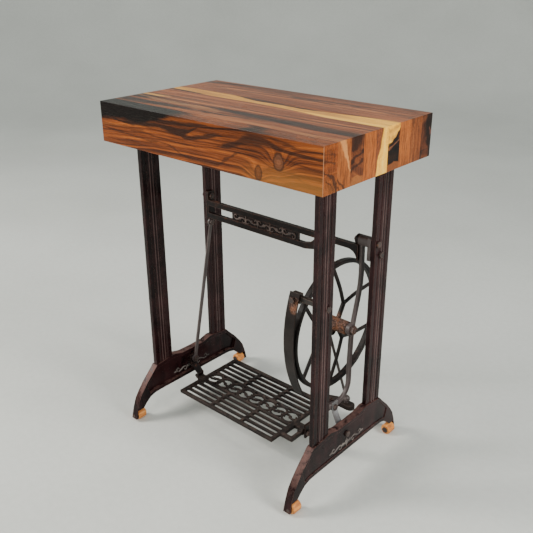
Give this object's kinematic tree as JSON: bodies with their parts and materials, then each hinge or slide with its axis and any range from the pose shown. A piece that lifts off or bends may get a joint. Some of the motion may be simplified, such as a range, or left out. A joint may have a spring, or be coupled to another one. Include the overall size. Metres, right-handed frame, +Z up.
{
  "type": "vintage sewing table",
  "caption": "Small table with a thick block top of glued hardwood staves on the cast-iron stand of a treadle sewing machine, with flywheel, pitman rod, rocking treadle and wooden rollers.",
  "frame": {"origin": "on the floor under the middle of the table", "axes": "+Z up, +X to the table's right where the flywheel is, +Y to its back where the brace is"},
  "size_m": [0.63, 0.421, 0.826],
  "materials": {
    "walnut": "satin oil finish",
    "japanned_iron": "worn black japanning with brown edges",
    "worn_casting": "bare casting, grey-brown and dull",
    "rusty_steel": "rusted, matt",
    "grey_steel": "dull grey, slightly stained",
    "roller_wood": "worn orange-brown"
  },
  "bodies": {
    "stand": {"arm_end_bolt": "rusty_steel", "axle_nut": "rusty_steel", "axle_stud": "worn_casting", "axle_washer": "worn_casting", "back_brace": "japanned_iron", "belt_guard": "japanned_iron", "brace_bolt_left": "rusty_steel", "brace_bolt_lower_right": "rusty_steel", "brace_bolt_upper_right": "rusty_steel", "brace_nut_left": "rusty_steel", "brace_nut_lower_right": "rusty_steel", "brace_nut_upper_right": "rusty_steel", "foot_bolt_left": "rusty_steel", "foot_bolt_right": "rusty_steel", "foot_nut_left": "rusty_steel", "foot_nut_right": "rusty_steel", "foot_strap": "grey_steel", "guard_bolt": "rusty_steel", "guard_bracket": "rusty_steel", "guard_bracket_bolt": "japanned_iron", "left_strut": "worn_casting", "pivot_nut_left": "rusty_steel", "pivot_nut_right": "rusty_steel", "pivot_screw_left": "rusty_steel", "pivot_screw_right": "rusty_steel", "roller_pin_front_left": "worn_casting", "roller_pin_front_right": "worn_casting", "roller_pin_rear_left": "worn_casting", "roller_pin_rear_right": "worn_casting", "side_frame_left": "japanned_iron", "side_frame_right": "japanned_iron", "strut_bolt": "rusty_steel", "table_screw_front_left": "grey_steel", "table_screw_front_right": "grey_steel", "table_screw_rear_left": "grey_steel", "table_screw_rear_right": "grey_steel", "top_stave_1": "walnut", "top_stave_2": "walnut", "top_stave_3": "walnut", "top_stave_4": "walnut", "top_stave_5": "walnut", "top_stave_6": "walnut", "top_stave_7": "walnut", "top_stave_8": "walnut", "top_stave_9": "walnut", "treadle_bracket_left": "grey_steel", "treadle_bracket_right": "grey_steel", "wheel_arm": "worn_casting"},
    "flywheel": {"flywheel": "japanned_iron", "crank_pin": "rusty_steel"},
    "treadle": {"treadle": "japanned_iron", "ball_stud": "rusty_steel"},
    "pitman": {"pitman_rod": "worn_casting"},
    "roller_front_left": {"roller_front_left": "roller_wood"},
    "roller_front_right": {"roller_front_right": "roller_wood"},
    "roller_rear_left": {"roller_rear_left": "roller_wood"},
    "roller_rear_right": {"roller_rear_right": "roller_wood"}
  },
  "joints": [
    {"name": "wheel_spin", "type": "hinge", "parent": "stand", "child": "flywheel", "pos_m": [0.187, 0.0525, 0.3425], "axis": [1, 0, 0], "continuous": true},
    {"name": "treadle_rock", "type": "hinge", "parent": "stand", "child": "treadle", "pos_m": [0, -0.01, 0.0575], "axis": [1, 0, 0], "range_deg": [0, 19.5]},
    {"name": "pitman_swing", "type": "hinge", "parent": "treadle", "child": "pitman", "pos_m": [0.16, 0.148, 0.076], "axis": [1, 0, 0], "range_deg": [-19.5, 0]},
    {"name": "roller_front_left_spin", "type": "hinge", "parent": "stand", "child": "roller_front_left", "pos_m": [-0.264, -0.189, 0.0135], "axis": [0, 1, 0], "continuous": true},
    {"name": "roller_front_right_spin", "type": "hinge", "parent": "stand", "child": "roller_front_right", "pos_m": [0.264, -0.189, 0.0135], "axis": [0, 1, 0], "continuous": true},
    {"name": "roller_rear_left_spin", "type": "hinge", "parent": "stand", "child": "roller_rear_left", "pos_m": [-0.264, 0.189, 0.0135], "axis": [0, 1, 0], "continuous": true},
    {"name": "roller_rear_right_spin", "type": "hinge", "parent": "stand", "child": "roller_rear_right", "pos_m": [0.264, 0.189, 0.0135], "axis": [0, 1, 0], "continuous": true}
  ],
  "couplings": [
    {"joint": "pitman_swing", "follows": "treadle_rock", "ratio": -1}
  ]
}
